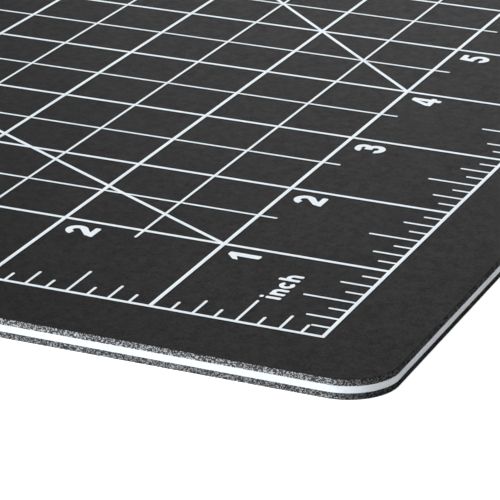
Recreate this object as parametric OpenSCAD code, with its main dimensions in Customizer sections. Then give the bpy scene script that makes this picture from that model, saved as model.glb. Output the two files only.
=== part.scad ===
// Self healing cutting mat: a black, white and black sheet of three bonded plies.
// The print on the top ply is a thin layer of white ink: a border line with ruler ticks, a grid,
// angle guides, numerals and the word for the unit.
// The origin is at the middle of the underside. X runs along the long side, Z points up.

/* [Sheet] */
// Inch squares along the length
grid_cols = 17; // [17:1:35]
// Inch squares along the width
grid_rows = 11; // [5:1:13]
// Plain margin between the border line and the sheet's edge
margin = 12.7; // [10:0.1:20]
// Radius of the sheet's corners
corner_r = 7.5; // [3:0.5:9]
// Thickness of the top ply, which is the cutting face
top_ply_t = 0.95; // [0.5:0.05:1.5]
// Thickness of the white core ply
core_ply_t = 1; // [0.5:0.05:1.5]
// Thickness of the bottom ply
bottom_ply_t = 0.95; // [0.5:0.05:1.5]

/* [Lines] */
// Thickness of the ink
ink_t = 0.05; // [0.02:0.01:0.1]
// Width of the border line
border_w = 0.58; // [0.4:0.02:0.8]
// Width of the inch lines
inch_w = 0.62; // [0.4:0.02:0.8]
// Width of the half inch lines
half_w = 0.44; // [0.3:0.02:0.6]
// Width of the angle guides
guide_w = 0.6; // [0.3:0.02:0.8]
// How far a half inch line runs on past the outermost inch line
half_overrun = 3; // [1:0.5:6]
// How far the print sits off the sheet's middle along X
shift_x = -0.6; // [-2:0.1:2]
// How far the print sits off the sheet's middle along Y
shift_y = -0.1; // [-2:0.1:2]

/* [Ticks] */
// Width of every ruler tick
tick_w = 0.42; // [0.3:0.02:0.5]
// Length of the eighth inch ticks, from the middle of the border line
eighth_len = 3; // [2.6:0.2:3.4]
// Length of the quarter inch ticks, from the middle of the border line
quarter_len = 5; // [4:0.5:6]
// Length of the half inch ticks, from the middle of the border line
half_len = 8; // [6:0.5:8]

/* [Numerals] */
// Height of a numeral
digit_h = 4.9; // [4:0.1:5.2]
// Stroke width of a numeral
digit_s = 1.05; // [0.8:0.05:1.1]
// Width that each digit takes up in a row of digits
digit_cell = 3.78; // [3.6:0.02:4]
// Radius that rounds the corners of a numeral's stroke ends
digit_end_r = 0.3; // [0.1:0.05:0.35]
// Gap from a numeral's cell to the inch line beside it
digit_side_gap = 1.9; // [0.8:0.1:2]
// Gap from a numeral to the inch line above or below it
digit_row_gap = 2.05; // [1.5:0.05:3]

/* [Unit word] */
// Height of the tall letters
letter_h = 3.15; // [2.8:0.05:3.4]
// Height of the small letters
letter_x_h = 2.25; // [2:0.05:2.4]
// Stroke width of the letters
letter_s = 0.68; // [0.5:0.02:0.7]
// Radius that rounds the corners of a letter's stroke ends
letter_end_r = 0.2; // [0.05:0.05:0.2]
// Left end of the word, from the border line
word_x = 9.35; // [9:0.05:10]
// Foot of the word, from the border line
word_y = 10.05; // [9:0.05:11]

/* [Hidden] */
$fn = 48;
inch = 25.4;
grid_l = grid_cols * inch;
grid_w = grid_rows * inch;
mat_l = grid_l + 2 * margin;
mat_w = grid_w + 2 * margin;
mat_t = bottom_ply_t + core_ply_t + top_ply_t;
// The ruler bands are one inch deep, and the grid's inner field lies between them.
band = inch;
field_right = grid_l - band;
field_top = grid_w - band;
// Digit outlines stand on the baseline, with their left end at zero.
digit_w = 3.4;
digit_bearing = (digit_cell - digit_w) / 2;
digit_bar = 0.9 * digit_s;
// How far the pieces of one stroke run into each other
lap = 0.1;
ink_colour = [0.93, 0.95, 0.96];
black_pvc = [0.14, 0.14, 0.14];

// ---------------------------------------------------------------- sheet

// Rectangle with round corners, centred on the origin
module sheet_outline() {
    flat_l = mat_l - 2 * corner_r;
    flat_w = mat_w - 2 * corner_r;
    square([flat_l, mat_w], center = true);
    square([mat_l, flat_w], center = true);
    for (sx = [-1, 1], sy = [-1, 1])
        translate([sx * flat_l / 2, sy * flat_w / 2])
            circle(r = corner_r);
}

module ply(z, t) {
    translate([0, 0, z])
        linear_extrude(t)
            sheet_outline();
}

module top_ply() {
    color(black_pvc)
        ply(bottom_ply_t + core_ply_t, top_ply_t);
}

module core_ply() {
    color("white")
        ply(bottom_ply_t, core_ply_t);
}

module bottom_ply() {
    color(black_pvc)
        ply(0, bottom_ply_t);
}

// ---------------------------------------------------------------- lines

// Lays a flat outline on the top ply as ink. The outline's zero is the ruler's zero corner.
module ink() {
    color(ink_colour)
        translate([shift_x - grid_l / 2, shift_y - grid_w / 2, mat_t])
            linear_extrude(ink_t)
                children();
}

// Line of constant x, from y0 to y1
module rule_x(x, y0, y1, w) {
    translate([x - w / 2, y0])
        square([w, y1 - y0]);
}

// Line of constant y, from x0 to x1
module rule_y(y, x0, x1, w) {
    translate([x0, y - w / 2])
        square([x1 - x0, w]);
}

// Bar with two round ends, whichever way it is longer, with its lower left corner at zero
module pill(w, h) {
    r = min(w, h) / 2;
    translate([r, r])
        circle(r = r);
    translate([w - r, h - r])
        circle(r = r);
    translate(w > h ? [r, 0] : [0, r])
        square(w > h ? [w - 2 * r, h] : [w, h - 2 * r]);
}

// Bar with four rounded corners, with its lower left corner at zero
module soft_bar(w, h, r) {
    translate([r, 0])
        square([w - 2 * r, h]);
    translate([0, r])
        square([w, h - 2 * r]);
    for (x = [r, w - r], y = [r, h - r])
        translate([x, y])
            circle(r = r);
}

module border_lines() {
    difference() {
        translate([-border_w / 2, -border_w / 2])
            square([grid_l + border_w, grid_w + border_w]);
        translate([border_w / 2, border_w / 2])
            square([grid_l - border_w, grid_w - border_w]);
    }
}

module inch_lines() {
    for (i = [1 : grid_cols - 1])
        rule_x(i * inch, border_w / 2, grid_w - border_w / 2, inch_w);
    for (j = [1 : grid_rows - 1])
        rule_y(j * inch, border_w / 2, grid_l - border_w / 2, inch_w);
}

// The half inch lines have round ends.
module half_inch_lines() {
    start = band - half_overrun;
    for (i = [1 : grid_cols - 2])
        translate([(i + 0.5) * inch - half_w / 2, start])
            pill(half_w, field_top + half_overrun - start);
    for (j = [1 : grid_rows - 2])
        translate([start, (j + 0.5) * inch - half_w / 2])
            pill(field_right + half_overrun - start, half_w);
}

// Strip that leaves the field's lower edge at x and climbs to its upper edge at the given angle
module guide(x, angle) {
    rise = field_top - band;
    run = rise / tan(angle);
    foot = guide_w / 2 / sin(angle);
    polygon([
        [x - foot, band],
        [x + foot, band],
        [x + run + foot, field_top],
        [x + run - foot, field_top]
    ]);
}

// A guide and its mirror image about the middle of the length
module guide_pair(x, angle) {
    guide(x, angle);
    translate([grid_l, 0])
        mirror([1, 0])
            guide(x, angle);
}

module guides_60() {
    guide_pair(band, 60);
}

module guides_45() {
    guide_pair((grid_l - (field_top - band)) / 2, 45);
}

module print_border() {
    ink()
        border_lines();
}

module print_inch_lines() {
    ink()
        inch_lines();
}

module print_half_inch_lines() {
    ink()
        difference() {
            half_inch_lines();
            inch_lines();
        }
}

module print_guides_60() {
    ink()
        difference() {
            guides_60();
            inch_lines();
            half_inch_lines();
        }
}

module print_guides_45() {
    ink()
        difference() {
            guides_45();
            inch_lines();
            half_inch_lines();
            guides_60();
        }
}

// ---------------------------------------------------------------- ticks

// Tick at x that stands on the border line and has a round end
module tick(x, len) {
    r = tick_w / 2;
    rule_x(x, border_w / 2, len - r, tick_w);
    translate([x, len - r])
        circle(r = r);
}

// One row of ticks along the foot of a ruler that is count inches long: first, then every step
module tick_row(count, first, step, len) {
    for (x = [first : step : count * inch - first / 2])
        tick(x, len);
}

// The same row on all four sides
module ticks(first, step, len) {
    tick_row(grid_cols, first, step, len);
    translate([grid_l, grid_w])
        rotate(180)
            tick_row(grid_cols, first, step, len);
    translate([grid_l, 0])
        rotate(90)
            tick_row(grid_rows, first, step, len);
    translate([0, grid_w])
        rotate(-90)
            tick_row(grid_rows, first, step, len);
}

module print_half_inch_ticks() {
    ink()
        ticks(inch / 2, inch, half_len);
}

module print_quarter_inch_ticks() {
    ink()
        ticks(inch / 4, inch / 2, quarter_len);
}

module print_eighth_inch_ticks() {
    ink()
        ticks(inch / 8, inch / 4, eighth_len);
}

// ---------------------------------------------------------------- numerals

// Ring of a pill's shape, with an even stroke
module bowl(w, h, s) {
    difference() {
        pill(w, h);
        translate([s, s])
            pill(w - 2 * s, h - 2 * s);
    }
}

module digit_0() {
    bowl(digit_w, digit_h, digit_s);
}

// Stem with a slanting flag on its left
module digit_1() {
    stem_right = 0.94 * digit_w;
    stem_left = stem_right - 1.15 * digit_s;
    flag_tip = 0.23 * digit_w;
    flag_top = 0.74 * digit_h;
    flag_foot = 0.58 * digit_h;
    crook = 0.71 * digit_h;
    translate([stem_left, 0])
        soft_bar(stem_right - stem_left, digit_h, digit_end_r);
    polygon([
        [stem_left + digit_end_r, digit_h],
        [flag_tip, flag_top],
        [flag_tip, flag_foot],
        [stem_left, crook],
        [stem_left + digit_end_r, crook]
    ]);
}

// Round shoulder with its lower left cut away, and a diagonal that runs down to a flat foot.
// The diagonal's two edges cut the shoulder's two circles, and the shoulder ends inside it.
module digit_2() {
    r = digit_w / 2;
    shoulder_y = digit_h - r;
    turn = 51;
    shoulder_end = 70;
    near = r - digit_s - lap;
    far = r - lap;
    terminal_y = 0.25 * r;
    heel = 0.3 * digit_s;
    toe = -0.8 * r;
    translate([r, shoulder_y]) {
        difference() {
            circle(r = r);
            circle(r = r - digit_s);
            polygon([
                [0, 0],
                [-digit_w, 2 * terminal_y],
                [-digit_w, -digit_w],
                [digit_w * cos(shoulder_end), -digit_w * sin(shoulder_end)]
            ]);
        }
        translate([0, -shoulder_y])
            soft_bar(r, digit_bar, digit_end_r);
        polygon([
            [toe, (toe * cos(turn) - near) / sin(turn)],
            [-r, heel - shoulder_y],
            [-r, -shoulder_y],
            [r - digit_end_r, -shoulder_y],
            [r - digit_end_r, digit_bar - shoulder_y],
            [(far + (digit_bar - shoulder_y) * sin(turn)) / cos(turn), digit_bar - shoulder_y],
            [far * cos(turn), -far * sin(turn)],
            [near * cos(turn) + near * sin(turn), near * cos(turn) - near * sin(turn)]
        ]);
    }
}

// Two bowls, one on the other, open on the left between the terminals
module digit_3() {
    low_h = 0.63 * digit_h;
    high_h = 0.54 * digit_h;
    high_w = 0.92 * digit_w;
    gap_foot = 0.29 * digit_h;
    gap_top = 0.75 * digit_h;
    gap_right = 0.38 * digit_w;
    difference() {
        union() {
            bowl(digit_w, low_h, digit_s);
            translate([(digit_w - high_w) / 2, digit_h - high_h])
                bowl(high_w, high_h, digit_s);
        }
        translate([-digit_s, gap_foot])
            square([digit_s + gap_right, gap_top - gap_foot]);
    }
}

// Stem, bar and diagonal round a three cornered counter
module digit_4() {
    bar_foot = 0.2 * digit_h;
    bar_top = bar_foot + digit_bar;
    bar_right = 1.08 * digit_w;
    stem_left = 0.6 * digit_w;
    stem_right = stem_left + digit_s;
    peak_left = stem_left - digit_s / 10;
    counter_left = 0.3 * digit_w;
    counter_top = 0.76 * digit_h;
    difference() {
        union() {
            translate([stem_left, 0])
                soft_bar(digit_s, bar_top, digit_end_r);
            translate([stem_left, bar_foot])
                soft_bar(bar_right - stem_left, digit_bar, digit_end_r);
            polygon([
                [0, bar_top],
                [0, bar_foot],
                [stem_right, bar_foot],
                [stem_right, digit_h],
                [peak_left, digit_h]
            ]);
        }
        polygon([
            [counter_left, bar_top],
            [stem_left, bar_top],
            [stem_left, counter_top]
        ]);
    }
}

// Flat top, sloping neck and a bowl that is open on the left
module digit_5() {
    bowl_h = 0.66 * digit_h;
    gap_foot = 0.29 * digit_h;
    gap_right = 0.42 * digit_w;
    neck_foot = 0.48 * digit_h;
    neck_foot_x = 0.05 * digit_w;
    neck_top_x = 0.15 * digit_w;
    cap_w = 0.8 * digit_w;
    difference() {
        bowl(digit_w, bowl_h, digit_s);
        translate([-digit_s, gap_foot])
            square([digit_s + gap_right, neck_foot - gap_foot]);
        translate([-digit_s, neck_foot])
            square([digit_s + digit_w / 3, digit_h]);
    }
    translate([neck_top_x, digit_h - digit_bar])
        soft_bar(cap_w, digit_bar, digit_end_r);
    polygon([
        [neck_top_x, digit_h],
        [neck_foot_x, neck_foot],
        [neck_foot_x + digit_s * 1.2, neck_foot],
        [neck_top_x + digit_s, digit_h]
    ]);
}

// Full lower bowl, with the left side carried up and over
module digit_6() {
    bowl_h = 0.63 * digit_h;
    terminal_y = 0.76 * digit_h;
    bowl(digit_w, bowl_h, digit_s);
    difference() {
        bowl(digit_w, digit_h, digit_s);
        translate([digit_w / 2, -digit_s])
            square([digit_w, digit_s + terminal_y]);
    }
}

// Bar with a leg that leans from its right end to the foot
module digit_7() {
    shoulder_y = digit_h - 0.8 * digit_bar;
    leg_left = 0.18 * digit_w;
    leg_right = 0.52 * digit_w;
    crook_x = 0.64 * digit_w;
    polygon([
        [0, digit_h],
        [digit_w, digit_h],
        [digit_w, shoulder_y],
        [leg_right, 0],
        [leg_left, 0],
        [crook_x, digit_h - digit_bar],
        [0, digit_h - digit_bar]
    ]);
}

// Two full bowls, one on the other
module digit_8() {
    low_h = 0.6 * digit_h;
    high_h = 0.54 * digit_h;
    high_w = 0.92 * digit_w;
    bowl(digit_w, low_h, digit_s);
    translate([(digit_w - high_w) / 2, digit_h - high_h])
        bowl(high_w, high_h, digit_s);
}

module digit_9() {
    translate([digit_w, digit_h])
        rotate(180)
            digit_6();
}

module digit(d) {
    if (d == 0) digit_0();
    if (d == 1) digit_1();
    if (d == 2) digit_2();
    if (d == 3) digit_3();
    if (d == 4) digit_4();
    if (d == 5) digit_5();
    if (d == 6) digit_6();
    if (d == 7) digit_7();
    if (d == 8) digit_8();
    if (d == 9) digit_9();
}

// One or two digits, with the foot of the first cell at zero
module numeral(n) {
    if (n > 9)
        translate([digit_bearing, 0])
            digit(floor(n / 10));
    translate([digit_bearing + (digits(n) - 1) * digit_cell, 0])
        digit(n % 10);
}

function digits(n) = n > 9 ? 2 : 1;

// Left end of a numeral that stands on the left of the line at x
function left_of(x, n) = x - digit_side_gap - digits(n) * digit_cell;

module numerals() {
    foot_low = band - digit_row_gap - digit_h;
    foot_high = field_top + digit_row_gap;
    for (n = [1 : grid_cols - 1]) {
        translate([left_of(n * inch, n), foot_low])
            numeral(n);
        translate([left_of(n * inch, n), foot_high])
            numeral(n);
    }
    // The one at the zero corner serves both rulers.
    for (n = [2 : grid_rows - 1])
        translate([left_of(band, n), n * inch - digit_row_gap - digit_h])
            numeral(n);
    for (n = [1 : grid_rows - 1])
        translate([field_right + digit_side_gap, n * inch - digit_row_gap - digit_h])
            numeral(n);
}

module print_numerals() {
    ink()
        numerals();
}

// ---------------------------------------------------------------- unit word

// Upright with a round arch on its right: the letter n, or h when the stem is tall
module arch_letter(w, stem_h) {
    r = w / 2;
    spring_y = letter_x_h - r;
    soft_bar(letter_s, stem_h, letter_end_r);
    translate([w - letter_s, 0])
        soft_bar(letter_s, spring_y, letter_end_r);
    difference() {
        union() {
            translate([r, spring_y])
                circle(r = r);
            translate([r, letter_end_r])
                square([r, spring_y - letter_end_r]);
        }
        translate([r, spring_y])
            circle(r = r - letter_s);
        translate([-r, -r])
            square([w + r - letter_s, letter_x_h]);
    }
}

module letter_i() {
    dot_h = 0.55;
    soft_bar(letter_s, letter_x_h, letter_end_r);
    translate([0, letter_h - dot_h])
        soft_bar(letter_s, dot_h, letter_end_r);
}

module letter_c(w) {
    r = w / 2;
    mouth = 40;
    translate([r, letter_x_h / 2])
        difference() {
            bowl_centred(w, letter_x_h, letter_s);
            polygon([
                [0, 0],
                [w * cos(mouth), -w * sin(mouth)],
                [w * cos(mouth), w * sin(mouth)]
            ]);
        }
}

module bowl_centred(w, h, s) {
    translate([-w / 2, -h / 2])
        bowl(w, h, s);
}

module unit_word() {
    round_w = 2.2;
    letter_gap = 0.55;
    n_x = letter_s + 1.3 * letter_gap;
    c_x = n_x + round_w + letter_gap;
    h_x = c_x + round_w + letter_gap;
    letter_i();
    translate([n_x, 0])
        arch_letter(round_w, letter_x_h);
    translate([c_x, 0])
        letter_c(round_w);
    translate([h_x, 0])
        arch_letter(round_w, letter_h);
}

module print_unit_word() {
    ink()
        translate([word_x, word_y])
            unit_word();
}

// ---------------------------------------------------------------- nodes

top_ply();
core_ply();
bottom_ply();
print_border();
print_inch_lines();
print_half_inch_lines();
print_half_inch_ticks();
print_quarter_inch_ticks();
print_eighth_inch_ticks();
print_guides_60();
print_guides_45();
print_numerals();
print_unit_word();
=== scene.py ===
"""Looks for the self healing cutting mat: three bonded PVC plies with a white screen print.

The three plies are rebuilt as closed shells in their CAD boxes, with rounded outer edges, a
leaning die-cut wall and torn grain on that wall. The print keeps its CAD solids and gets an ink
material. Units are metres.
"""

import math

import bpy
import numpy as np
from mathutils import Matrix, Vector

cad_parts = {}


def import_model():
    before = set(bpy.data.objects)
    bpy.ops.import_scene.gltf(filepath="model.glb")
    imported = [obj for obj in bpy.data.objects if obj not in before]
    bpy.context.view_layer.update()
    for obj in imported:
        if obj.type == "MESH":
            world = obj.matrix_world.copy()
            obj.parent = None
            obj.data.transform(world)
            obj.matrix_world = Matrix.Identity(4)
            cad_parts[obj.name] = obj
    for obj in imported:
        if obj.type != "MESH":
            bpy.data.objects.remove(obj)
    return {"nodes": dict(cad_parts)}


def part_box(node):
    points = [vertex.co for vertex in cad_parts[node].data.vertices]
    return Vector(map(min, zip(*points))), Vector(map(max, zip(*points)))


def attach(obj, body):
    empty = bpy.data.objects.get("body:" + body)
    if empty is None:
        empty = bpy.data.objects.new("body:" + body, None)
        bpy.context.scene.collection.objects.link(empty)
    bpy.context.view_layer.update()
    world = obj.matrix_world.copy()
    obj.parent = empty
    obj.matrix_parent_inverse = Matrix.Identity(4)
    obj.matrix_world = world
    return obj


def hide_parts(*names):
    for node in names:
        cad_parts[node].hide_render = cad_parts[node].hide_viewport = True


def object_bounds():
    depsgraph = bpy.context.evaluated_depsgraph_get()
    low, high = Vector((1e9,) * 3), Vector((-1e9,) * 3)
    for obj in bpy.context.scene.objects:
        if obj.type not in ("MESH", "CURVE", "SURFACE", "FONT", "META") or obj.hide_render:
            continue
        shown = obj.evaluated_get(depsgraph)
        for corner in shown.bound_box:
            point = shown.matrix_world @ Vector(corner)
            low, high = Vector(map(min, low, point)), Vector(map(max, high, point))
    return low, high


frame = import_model()
cad_lo, cad_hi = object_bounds()

MM = 0.001
UNIT = (0.0, 1.0)
# Almost all of the values of a noise texture
NOISE_RANGE = (0.3, 0.7)


# ---------------------------------------------------------------- node helpers


def new_material(name):
    """An empty node tree with a Principled shader joined to its output."""
    mat = bpy.data.materials.new(name)
    mat.use_nodes = True
    tree = mat.node_tree
    tree.nodes.clear()
    out = tree.nodes.new("ShaderNodeOutputMaterial")
    shader = tree.nodes.new("ShaderNodeBsdfPrincipled")
    tree.links.new(shader.outputs["BSDF"], out.inputs["Surface"])
    return mat, tree, shader


def object_coords(tree):
    """Object coordinates, which are the row frame in metres."""
    return tree.nodes.new("ShaderNodeTexCoord").outputs["Object"]


def noise(tree, coords, size, detail=2.0, roughness=0.5):
    """Noise whose features are about size metres across."""
    node = tree.nodes.new("ShaderNodeTexNoise")
    node.inputs["Scale"].default_value = 1.0 / size
    node.inputs["Detail"].default_value = detail
    node.inputs["Roughness"].default_value = roughness
    tree.links.new(coords, node.inputs["Vector"])
    return node.outputs["Fac"]


def cells(tree, coords, size):
    """A node of random cells about size metres across, with their colours and distances."""
    node = tree.nodes.new("ShaderNodeTexVoronoi")
    node.inputs["Scale"].default_value = 1.0 / size
    tree.links.new(coords, node.inputs["Vector"])
    return node


def cell_tones(tree, cell_node):
    """The channels of the cells' random colours, each of them one tone from 0 to 1 a cell."""
    node = tree.nodes.new("ShaderNodeSeparateColor")
    tree.links.new(cell_node.outputs["Color"], node.inputs["Color"])
    return node.outputs


def remap(tree, value, source, target=UNIT):
    """Maps a value from the source range to the target range, and clamps it."""
    node = tree.nodes.new("ShaderNodeMapRange")
    node.inputs["From Min"].default_value, node.inputs["From Max"].default_value = source
    node.inputs["To Min"].default_value, node.inputs["To Max"].default_value = target
    tree.links.new(value, node.inputs["Value"])
    return node.outputs["Result"]


def maths(tree, operation, a, b):
    """One arithmetic step on two sockets or numbers."""
    node = tree.nodes.new("ShaderNodeMath")
    node.operation = operation
    for socket, value in zip(node.inputs, (a, b)):
        if isinstance(value, (int, float)):
            socket.default_value = value
        else:
            tree.links.new(value, socket)
    return node.outputs["Value"]


def mix_colour(tree, share, a, b):
    """Colour a where share is 0, and b where it is 1."""
    node = tree.nodes.new("ShaderNodeMix")
    node.data_type = "RGBA"
    tree.links.new(share, node.inputs["Factor"])
    for socket, value in ((node.inputs["A"], a), (node.inputs["B"], b)):
        if isinstance(value, tuple):
            socket.default_value = (*value, 1.0)
        else:
            tree.links.new(value, socket)
    return node.outputs["Result"]


def bump(tree, height, distance, normal=None):
    """A normal for relief of that height times distance metres, on top of another normal."""
    node = tree.nodes.new("ShaderNodeBump")
    node.inputs["Distance"].default_value = distance
    tree.links.new(height, node.inputs["Height"])
    if normal is not None:
        tree.links.new(normal, node.inputs["Normal"])
    return node.outputs["Normal"]


# ---------------------------------------------------------------- materials

# Calendered faces: pores of mixed tone, clouds that shift it, a wavy peel and a fine grain
PORE = 0.28 * MM
CLOUD = 9 * MM
CLOUD_SHIFT = (-0.12, 0.12)
PEEL = 1.6 * MM
PEEL_DEPTH = 0.006 * MM
PEEL_ROUGHNESS = (0.54, 0.62)
GRAIN = 0.22 * MM
GRAIN_DEPTH = 0.012 * MM
FACE_SPECULAR = 0.08

# Pale specks: their spacing, their soft rim as shares of it, how strongly they show inside and
# outside that rim, the patches that hold them, and how much paler than a pale pore they are
SPECK_SPACING = 1.5 * MM
SPECK_RIM = (0.05, 0.09)
SPECK_SHARE = (0.4, 0.0)
SPECK_PATCH = 3.1 * MM
SPECK_PATCH_RIM = (0.56, 0.62)
SPECK_GAIN = 6.0

# Cut walls: chips, finer dust on them, the sum of both from which a chip is a flake, and tears
CHIP = 0.18 * MM
CHIP_DUST = 0.10 * MM
CHIP_DEPTH = 0.03 * MM
CHIP_ROUGHNESS = (0.38, 0.58)
FLAKE_RANGE = (1.00, 1.12)
TEAR = 0.20 * MM
TEAR_DEPTH = 0.10 * MM

# White core: the die's drag marks, drawn out along Z, and clouds
DRAG = 0.35 * MM
DRAG_STRETCH = (1.0, 1.0, 0.12)
DRAG_DEPTH = 0.02 * MM
DRAG_ROUGHNESS = (0.42, 0.58)
CORE_CLOUD = 3 * MM
CORE_TONE_RANGE = (0.7, 1.3)
CORE_DARK = (0.665, 0.715, 0.760)
CORE_PALE = (0.74, 0.78, 0.815)

# Ink: the screen's weave, and a slow drift of tone
WEAVE = 0.16 * MM
WEAVE_DEPTH = 0.008 * MM
WEAVE_ROUGHNESS = (0.40, 0.54)
DRIFT = 7 * MM
INK_TONE_RANGE = (0.75, 1.25)
INK_DARK = (0.69, 0.755, 0.80)
INK_PALE = (0.77, 0.825, 0.86)

# Studio floor: faint clouds almost a metre across, and a glow
FLOOR_CLOUD = 0.9
FLOOR_DARK = (0.34, 0.34, 0.34)
FLOOR_PALE = (0.36, 0.36, 0.36)
FLOOR_ROUGHNESS = 0.9
FLOOR_SPECULAR = 0.1
FLOOR_GLOW = (0.98, 0.99, 1.0, 1.0)
FLOOR_GLOW_STRENGTH = 1.02


def face_pvc(name, dark, pale):
    """Calendered black PVC: a fine matte grain, faint clouding and a few pale specks."""
    mat, tree, shader = new_material(name)
    coords = object_coords(tree)
    tone = cell_tones(tree, cells(tree, coords, PORE))["Red"]
    cloud = noise(tree, coords, CLOUD, detail=3.0)
    clouding = remap(tree, cloud, NOISE_RANGE, CLOUD_SHIFT)
    share = remap(tree, maths(tree, "ADD", tone, clouding), UNIT)
    colour = mix_colour(tree, share, dark, pale)
    speck = cells(tree, coords, SPECK_SPACING).outputs["Distance"]
    patch = remap(tree, noise(tree, coords, SPECK_PATCH), SPECK_PATCH_RIM)
    speck_share = remap(tree, speck, SPECK_RIM, SPECK_SHARE)
    fleck = tuple(SPECK_GAIN * c for c in pale)
    colour = mix_colour(tree, maths(tree, "MULTIPLY", speck_share, patch), colour, fleck)
    tree.links.new(colour, shader.inputs["Base Color"])
    peel = noise(tree, coords, PEEL)
    tree.links.new(remap(tree, peel, NOISE_RANGE, PEEL_ROUGHNESS), shader.inputs["Roughness"])
    shader.inputs["Specular IOR Level"].default_value = FACE_SPECULAR
    grain = noise(tree, coords, GRAIN, detail=3.0, roughness=0.6)
    fine = bump(tree, grain, GRAIN_DEPTH)
    tree.links.new(bump(tree, peel, PEEL_DEPTH, normal=fine), shader.inputs["Normal"])
    return mat


def cut_pvc(name, dark, pale, metal):
    """The torn grain of a die-cut edge: dark PVC with flakes of filler that glint.

    metal is how metallic a flake is, which decides how strongly it glints.
    """
    mat, tree, shader = new_material(name)
    coords = object_coords(tree)
    chips = cells(tree, coords, CHIP)
    tones = cell_tones(tree, chips)
    dust = noise(tree, coords, CHIP_DUST, detail=1.0)
    flake = remap(tree, maths(tree, "ADD", tones["Red"], dust), FLAKE_RANGE)
    tree.links.new(mix_colour(tree, flake, dark, pale), shader.inputs["Base Color"])
    tree.links.new(maths(tree, "MULTIPLY", flake, metal), shader.inputs["Metallic"])
    gloss = remap(tree, tones["Green"], UNIT, CHIP_ROUGHNESS)
    tree.links.new(gloss, shader.inputs["Roughness"])
    tear = noise(tree, coords, TEAR, roughness=0.6)
    torn = bump(tree, tear, TEAR_DEPTH)
    relief = maths(tree, "ADD", chips.outputs["Distance"], dust)
    tree.links.new(bump(tree, relief, CHIP_DEPTH, normal=torn), shader.inputs["Normal"])
    return mat


def core_pvc():
    """White PVC sheet with faint vertical drag marks from the die."""
    mat, tree, shader = new_material("core_pvc")
    coords = object_coords(tree)
    stretch = tree.nodes.new("ShaderNodeMapping")
    stretch.inputs["Scale"].default_value = DRAG_STRETCH
    tree.links.new(coords, stretch.inputs["Vector"])
    drag = noise(tree, stretch.outputs["Vector"], DRAG, detail=3.0)
    cloud = noise(tree, coords, CORE_CLOUD)
    share = remap(tree, maths(tree, "ADD", drag, cloud), CORE_TONE_RANGE)
    tree.links.new(mix_colour(tree, share, CORE_DARK, CORE_PALE), shader.inputs["Base Color"])
    tree.links.new(remap(tree, drag, NOISE_RANGE, DRAG_ROUGHNESS), shader.inputs["Roughness"])
    tree.links.new(bump(tree, drag, DRAG_DEPTH), shader.inputs["Normal"])
    return mat


def screen_ink():
    """White screen-printing ink: opaque and satin, with faint mesh texture and tonal drift."""
    mat, tree, shader = new_material("print_ink")
    coords = object_coords(tree)
    weave = noise(tree, coords, WEAVE, roughness=0.6)
    drift = noise(tree, coords, DRIFT)
    share = remap(tree, maths(tree, "ADD", weave, drift), INK_TONE_RANGE)
    tree.links.new(mix_colour(tree, share, INK_DARK, INK_PALE), shader.inputs["Base Color"])
    tree.links.new(remap(tree, weave, NOISE_RANGE, WEAVE_ROUGHNESS), shader.inputs["Roughness"])
    tree.links.new(bump(tree, weave, WEAVE_DEPTH), shader.inputs["Normal"])
    return mat


def floor_paint():
    """A white light table, which glows enough to wash out most of the shadow round the mat."""
    mat, tree, shader = new_material("studio_floor")
    coords = object_coords(tree)
    share = remap(tree, noise(tree, coords, FLOOR_CLOUD), NOISE_RANGE)
    tree.links.new(mix_colour(tree, share, FLOOR_DARK, FLOOR_PALE), shader.inputs["Base Color"])
    shader.inputs["Roughness"].default_value = FLOOR_ROUGHNESS
    shader.inputs["Specular IOR Level"].default_value = FLOOR_SPECULAR
    shader.inputs["Emission Color"].default_value = FLOOR_GLOW
    shader.inputs["Emission Strength"].default_value = FLOOR_GLOW_STRENGTH
    # The floor is so wide that rays find its glow by themselves
    mat.cycles.emission_sampling = "NONE"
    return mat


# ---------------------------------------------------------------- plies

# Seeds the random tear of the walls
SEED = 20
# The mat's corner radius in plan, the same as in the CAD
CORNER_R = 7.5 * MM
# Material indices of a ply
FACE, WALL = 0, 1
# Steps round the quarter circle of a rounded edge
ARC_STEPS = 3
# Insets of the rings that thin out the points from the wall towards the middle of a face
THINNING = [0.5 * MM, 1.1 * MM, 2.2 * MM, 4.0 * MM, 6.2 * MM]
# Shares of the full tear on a rounded edge, and on the wall's first and last row
ARRIS_TEAR = 0.25
RIM_TEAR = 0.4
# The span that a wall's points slide up and down in, as a share of a row's height, and the
# depth of grain from which they slide that far
SLIDE = 0.5
SLIDE_GRAIN = 0.03 * MM


def rim(lo, hi, count):
    """count points evenly round the mat's outline, and the outward normal at each."""
    half = Vector((hi.x - lo.x, hi.y - lo.y)) / 2 - Vector((CORNER_R, CORNER_R))
    middle = Vector((hi.x + lo.x, hi.y + lo.y)) / 2
    quarter = math.pi * CORNER_R / 2
    corners = ((half.x, half.y), (-half.x, half.y), (-half.x, -half.y), (half.x, -half.y))
    sides = (2 * half.x, 2 * half.y, 2 * half.x, 2 * half.y)
    total = sum(sides) + 4 * quarter
    points, normals = [], []
    for k in range(count):
        s = total * k / count
        for i, (cx, cy) in enumerate(corners):
            if s < quarter:
                turn = math.pi / 2 * i + s / CORNER_R
                offset = 0.0
                break
            s -= quarter
            if s < sides[i]:
                turn = math.pi / 2 * (i + 1)
                offset = s
                break
            s -= sides[i]
        n = Vector((math.cos(turn), math.sin(turn)))
        along = Vector((-n.y, n.x))
        points.append(middle + Vector((cx, cy)) + CORNER_R * n + offset * along)
        normals.append(n)
    return np.array(points), np.array(normals)


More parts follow.
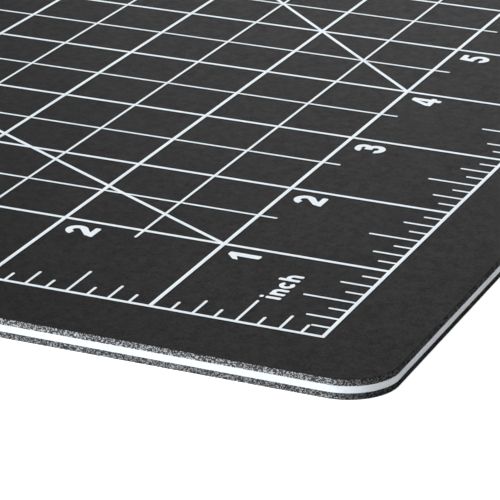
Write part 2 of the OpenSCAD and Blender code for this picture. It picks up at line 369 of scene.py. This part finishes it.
class Shell:
    """Collects rings of points round the mat and the faces between them."""

    def __init__(self, lo, hi, count):
        self.outline, self.normals = rim(lo, hi, count)
        self.coords, self.faces, self.kinds = [], [], []
        self.size = 0

    def ring(self, inset, z, step=1, jitter=None):
        """Adds a ring of every step-th point, moved in by inset, at height z.

        jitter moves each point along the outline. Gives the ring's first index and its length.
        """
        at = self.outline[::step]
        n = self.normals[::step]
        inset = np.broadcast_to(np.asarray(inset, float), (len(at),))
        z = np.broadcast_to(np.asarray(z, float), (len(at),))
        xy = at - n * inset[:, None]
        if jitter is not None:
            xy = xy + np.stack([-n[:, 1], n[:, 0]], 1) * jitter[:, None]
        self.coords.append(np.column_stack([xy, z]))
        first = self.size
        self.size += len(at)
        return first, len(at)

    def band(self, upper, lower, kind):
        """Joins two rings. The lower one has as many points as the upper, or twice, or half."""
        (a, n), (b, m) = upper, lower
        if n == m:
            for i in range(n):
                j = (i + 1) % n
                self.add((a + i, b + i, b + j, a + j), kind)
        elif m == 2 * n:
            for i in range(n):
                j = (i + 1) % n
                p, q, r = b + 2 * i, b + 2 * i + 1, b + (2 * i + 2) % m
                self.add((a + i, p, q), kind)
                self.add((a + i, q, a + j), kind)
                self.add((a + j, q, r), kind)
        else:
            for i in range(m):
                j = (i + 1) % m
                p, q, r = a + 2 * i, a + 2 * i + 1, a + (2 * i + 2) % n
                self.add((p, b + i, q), kind)
                self.add((q, b + i, b + j), kind)
                self.add((q, b + j, r), kind)

    def add(self, face, kind):
        """Adds one face, whose kind is the index of its material."""
        self.faces.append(face)
        self.kinds.append(kind)

    def cap(self, ring, kind, facing_up):
        """Closes a ring with one flat polygon."""
        first, n = ring
        face = range(first, first + n) if facing_up else range(first + n - 1, first - 1, -1)
        self.add(tuple(face), kind)

    def piece(self, name, materials):
        """Makes the object from all the rings and faces, and links it to the scene."""
        mesh = bpy.data.meshes.new(name)
        mesh.from_pydata(np.concatenate(self.coords).tolist(), [], self.faces)
        for material in materials:
            mesh.materials.append(material)
        mesh.polygons.foreach_set("material_index", self.kinds)
        mesh.update()
        obj = bpy.data.objects.new(name, mesh)
        bpy.context.scene.collection.objects.link(obj)
        return obj


def flat_cap(shell, edge, z, facing_up, kind):
    """Thins the points out from an edge ring and closes the face with one polygon."""
    previous = edge
    for level, inset in enumerate(THINNING):
        ring = shell.ring(inset, z, step=2 ** (level + 1))
        if facing_up:
            shell.band(ring, previous, kind)
        else:
            shell.band(previous, ring, kind)
        previous = ring
    shell.cap(previous, kind, facing_up)


def wall_stations(thickness, rows, arris_top, arris_foot):
    """The wall's profile from the top down.

    Each station is an inset, a depth, a share of the tear, and whether it may slide.
    """
    stations = []
    if arris_top:
        for k in range(ARC_STEPS):
            turn = math.pi / 2 * (1 - k / ARC_STEPS)
            inset = arris_top * (1 - math.cos(turn))
            depth = arris_top * (1 - math.sin(turn))
            stations.append((inset, depth, ARRIS_TEAR, False))
    first_z = arris_top
    last_z = thickness - arris_foot
    for k in range(rows + 1):
        inner = 0 < k < rows
        depth = first_z + (last_z - first_z) * k / rows
        stations.append((0.0, depth, 1.0 if inner else RIM_TEAR, inner))
    if arris_foot:
        for k in range(1, ARC_STEPS + 1):
            turn = math.pi / 2 * k / ARC_STEPS
            inset = arris_foot * (1 - math.cos(turn))
            depth = last_z + arris_foot * math.sin(turn)
            stations.append((inset, depth, ARRIS_TEAR, False))
    return stations


def build_ply(
    name, node, materials, spacing, rows, grain, lean_top, lean_foot, arris_top, arris_foot
):
    """A ply in the place of its CAD node.

    Its points are about spacing apart, and its wall has that many rows and torn grain up to
    grain deep. lean_top and lean_foot are how far the wall draws in towards each edge, and
    arris_top and arris_foot are the radii of its rounded edges.
    """
    lo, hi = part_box(node)
    perimeter = 2 * (hi.x - lo.x + hi.y - lo.y)
    fold = 2 ** len(THINNING)
    count = fold * round(perimeter / spacing / fold)
    shell = Shell(lo, hi, count)
    rng = np.random.default_rng(SEED + len(name))
    thickness = hi.z - lo.z
    rings = []
    slide = SLIDE * thickness / rows * min(1.0, grain / SLIDE_GRAIN)
    for inset, depth, share, inner in wall_stations(thickness, rows, arris_top, arris_foot):
        across = depth / thickness
        lean = lean_top * (1 - across) + lean_foot * across
        tear = grain * share * rng.random(count)
        slip = grain * share * (rng.random(count) - 0.5)
        lift = slide * inner * (rng.random(count) - 0.5)
        rings.append(shell.ring(inset + lean + tear, hi.z - depth + lift, jitter=slip))
    torn_from = ARC_STEPS if arris_top else 0
    for k, (upper, lower) in enumerate(zip(rings, rings[1:])):
        shell.band(upper, lower, FACE if k < torn_from else WALL)
    flat_cap(shell, rings[0], hi.z, True, FACE)
    flat_cap(shell, rings[-1], lo.z, False, FACE)
    obj = shell.piece(name, materials)
    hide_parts(node)
    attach(obj, "root")
    return obj


# ---------------------------------------------------------------- camera and lights

FLOOR_HALF_WIDTH = 30.0
BACKDROP = (1.0, 1.0, 1.0, 1.0)


def towards(azimuth, elevation):
    """The direction at an azimuth, anticlockwise from +X, and a height angle, in degrees."""
    a, e = math.radians(azimuth), math.radians(elevation)
    return Vector((math.cos(a) * math.cos(e), math.sin(a) * math.cos(e), math.sin(e)))


def camera(target, distance, azimuth, elevation, roll, lens):
    """Aims at target. Azimuth is the way it looks, and elevation how far it looks down."""
    look = towards(azimuth, -elevation)
    data = bpy.data.cameras.new("camera")
    data.lens = lens
    data.sensor_width = 36.0
    data.clip_start = 0.01
    data.clip_end = 100.0
    obj = bpy.data.objects.new("camera", data)
    turn = look.to_track_quat("-Z", "Y").to_matrix() @ Matrix.Rotation(math.radians(roll), 3, "Z")
    obj.matrix_world = Matrix.Translation(target - distance * look) @ turn.to_4x4()
    bpy.context.scene.collection.objects.link(obj)
    bpy.context.scene.camera = obj


def softbox(name, target, azimuth, elevation, distance, width, height, power, colour=(1, 1, 1)):
    """A rectangular lamp that faces target from the given side."""
    away = towards(azimuth, elevation)
    data = bpy.data.lights.new(name, "AREA")
    data.shape = "RECTANGLE"
    data.size = width
    data.size_y = height
    data.energy = power
    data.color = colour
    obj = bpy.data.objects.new(name, data)
    obj.visible_camera = False
    obj.location = target + away * distance
    obj.rotation_euler = away.to_track_quat("Z", "Y").to_euler()
    bpy.context.scene.collection.objects.link(obj)


def world():
    """A plain white backdrop, which only the camera sees: the softboxes do the lighting."""
    sky = bpy.data.worlds.new("studio")
    sky.use_nodes = True
    background = sky.node_tree.nodes["Background"]
    background.inputs["Color"].default_value = BACKDROP
    background.inputs["Strength"].default_value = 1.0
    sky.cycles_visibility.diffuse = False
    sky.cycles_visibility.glossy = False
    bpy.context.scene.world = sky


def floor(z):
    """One white square at height z, far wider than any view of the mat."""
    half = FLOOR_HALF_WIDTH
    mesh = bpy.data.meshes.new("floor")
    mesh.from_pydata(
        [(-half, -half, z), (half, -half, z), (half, half, z), (-half, half, z)],
        [],
        [(0, 1, 2, 3)],
    )
    mesh.materials.append(floor_paint())
    obj = bpy.data.objects.new("floor", mesh)
    obj.visible_glossy = False
    bpy.context.scene.collection.objects.link(obj)


# ---------------------------------------------------------------- the mat

top_face = face_pvc(
    "cutting_face_pvc", dark=(0.0004, 0.0004, 0.0004), pale=(0.0118, 0.0118, 0.0120)
)
under_face = face_pvc(
    "backing_pvc", dark=(0.0010, 0.0010, 0.0010), pale=(0.0150, 0.0150, 0.0152)
)
top_wall = cut_pvc(
    "cutting_face_cut", dark=(0.026, 0.026, 0.026), pale=(0.60, 0.60, 0.60), metal=0.90
)
under_wall = cut_pvc(
    "backing_cut", dark=(0.020, 0.020, 0.020), pale=(0.47, 0.47, 0.47), metal=0.94
)
white_core = core_pvc()
ink = screen_ink()

top = build_ply(
    "cutting_face_ply", "top_ply", [top_face, top_wall],
    spacing=0.2 * MM, rows=5, grain=0.055 * MM,
    lean_top=0.03 * MM, lean_foot=0.0, arris_top=0.05 * MM, arris_foot=0.0,
)
core = build_ply(
    "white_core_ply", "core_ply", [white_core, white_core],
    spacing=0.6 * MM, rows=4, grain=0.012 * MM,
    lean_top=0.015 * MM, lean_foot=0.015 * MM, arris_top=0.0, arris_foot=0.0,
)
under = build_ply(
    "backing_ply", "bottom_ply", [under_face, under_wall],
    spacing=0.2 * MM, rows=5, grain=0.055 * MM,
    lean_top=0.0, lean_foot=0.02 * MM, arris_top=0.0, arris_foot=0.03 * MM,
)

for node_name, node_object in frame["nodes"].items():
    if node_name.startswith("print_"):
        node_object.data.materials.clear()
        node_object.data.materials.append(ink)

# ---------------------------------------------------------------- studio

# Half the width of the border line, whose middle is the zero of both rulers
HALF_BORDER_LINE = 0.29 * MM
# From the corner where both rulers are zero to the point that the camera aims at
AIM_OFFSET = Vector((24.82 * MM, 21.13 * MM, 0.0))

border_lo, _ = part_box("print_border")
zero = Vector((border_lo.x + HALF_BORDER_LINE, border_lo.y + HALF_BORDER_LINE, border_lo.z))
# Worked out from the inch lines, so that the grid lies as it does in the photograph
camera(
    zero + AIM_OFFSET, distance=0.40958, azimuth=22.8375, elevation=21.58, roll=0.711,
    lens=206.425,
)

floor(cad_lo.z)
world()
near_corner = Vector((zero.x, zero.y, 0.0))
mat_middle = Vector((0, 0, 0))
softbox(
    "key", near_corner, azimuth=144, elevation=3.2, distance=3.0, width=0.5, height=0.28,
    power=71.0, colour=(0.90, 0.945, 0.99),
)
softbox(
    "top_light", mat_middle, azimuth=110, elevation=70, distance=3.0, width=2.0, height=2.0,
    power=115.0,
)
softbox(
    "back_panel", mat_middle, azimuth=17, elevation=9, distance=3.0, width=1.2, height=0.5,
    power=13.0, colour=(0.98, 0.98, 1.0),
)

scene = bpy.context.scene
scene.view_settings.view_transform = "Standard"
scene.view_settings.look = "None"
